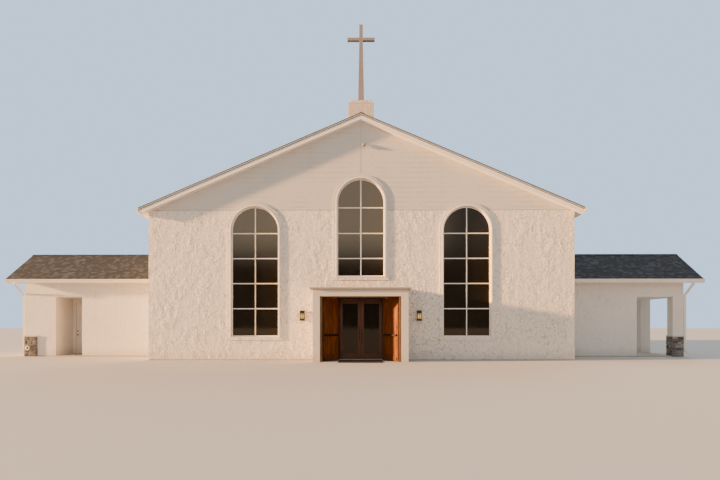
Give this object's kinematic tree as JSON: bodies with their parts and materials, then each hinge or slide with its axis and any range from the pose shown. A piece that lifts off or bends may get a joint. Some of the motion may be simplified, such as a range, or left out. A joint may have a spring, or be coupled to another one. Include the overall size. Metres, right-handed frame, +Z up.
{
  "type": "church building",
  "caption": "Hollow gabled church with arched windows, a projecting portal with double doors, low side wings, an open porch and a cross on the ridge.",
  "frame": {"origin": "ground level in the middle of the entrance doorway, halfway through the front wall", "axes": "+X to the right along the front, +Y back into the building, +Z up"},
  "size_m": [30.98, 25.845, 14.38],
  "materials": {
    "concrete": "trowelled concrete",
    "stucco": "hand-textured painted stucco",
    "shingle": "mineral-faced roof shingles",
    "trim": "white painted board",
    "gutter": "white baked paint",
    "window_frame": "satin off-white",
    "glass": "dark tinted",
    "cross_paint": "satin white",
    "bronze": "dark bronze anodised",
    "rubber": "ribbed matt",
    "stained_wood": "reddish-brown stain, satin",
    "black_metal": "satin black",
    "painted_door": "satin off-white",
    "stone": "split-face veneer"
  },
  "bodies": {
    "building": {"floor_slab": "concrete", "front_wall_left": "stucco", "front_wall_right": "stucco", "front_wall_center": "stucco", "rear_wall": "stucco", "left_nave_wall": "stucco", "right_nave_wall": "stucco", "main_roof_left": "shingle", "main_roof_right": "shingle", "front_bargeboard": "trim", "rear_bargeboard": "trim", "main_gutter_left": "gutter", "main_gutter_right": "gutter", "front_window_left": "window_frame", "front_window_center": "window_frame", "front_window_right": "window_frame", "front_glass_left": "glass", "front_glass_center": "glass", "front_glass_right": "glass", "left_nave_glass": "glass", "right_nave_glass": "glass", "rear_glass": "glass", "cross_pedestal": "stucco", "cross": "cross_paint", "portal_pier_left": "stucco", "portal_pier_right": "stucco", "portal_header": "stucco", "entry_frame": "bronze", "entry_mat": "rubber", "sconce_left": "black_metal", "sconce_right": "black_metal", "left_wing_front_wall": "stucco", "left_wing_outer_wall": "stucco", "left_alcove": "stucco", "left_wing_roof": "shingle", "left_wing_gutter": "gutter", "left_wing_downspout": "gutter", "left_stone_base": "stone", "right_wing_front_wall": "stucco", "right_wing_back_wall": "stucco", "porch_lining": "stucco", "right_wing_gable": "stucco", "porch_column_front": "stucco", "porch_column_rear": "stucco", "porch_base_front": "stone", "right_wing_roof": "shingle", "right_wing_gutter": "gutter", "right_wing_downspout": "gutter"},
    "wood_leaf_left": {"wood_door_left": "stained_wood", "panic_bar_left": "black_metal"},
    "wood_leaf_right": {"wood_door_right": "stained_wood", "panic_bar_right": "black_metal"},
    "glass_leaf_left": {"glass_door_left": "bronze", "door_glass_left": "glass", "door_pull_left": "black_metal"},
    "glass_leaf_right": {"glass_door_right": "bronze", "door_glass_right": "glass", "door_pull_right": "black_metal"},
    "side_door_leaf": {"left_wing_door": "painted_door"}
  },
  "joints": [
    {"name": "wood_door_left_hinge", "type": "hinge", "parent": "building", "child": "wood_leaf_left", "pos_m": [-0.935, -0.235, 1.25], "axis": [0, 0, -1], "range_deg": [-127, 0]},
    {"name": "wood_door_right_hinge", "type": "hinge", "parent": "building", "child": "wood_leaf_right", "pos_m": [0.935, -0.235, 1.25], "axis": [0, 0, 1], "range_deg": [-127, 0]},
    {"name": "glass_door_left_hinge", "type": "hinge", "parent": "building", "child": "glass_leaf_left", "pos_m": [-0.86, 0.125, 1.25], "axis": [0, 0, 1], "range_deg": [0, 90]},
    {"name": "glass_door_right_hinge", "type": "hinge", "parent": "building", "child": "glass_leaf_right", "pos_m": [0.86, 0.125, 1.25], "axis": [0, 0, -1], "range_deg": [0, 90]},
    {"name": "side_door_hinge", "type": "hinge", "parent": "building", "child": "side_door_leaf", "pos_m": [-12.84, 4.055, 1.25], "axis": [0, 0, -1], "range_deg": [0, 90]}
  ]
}
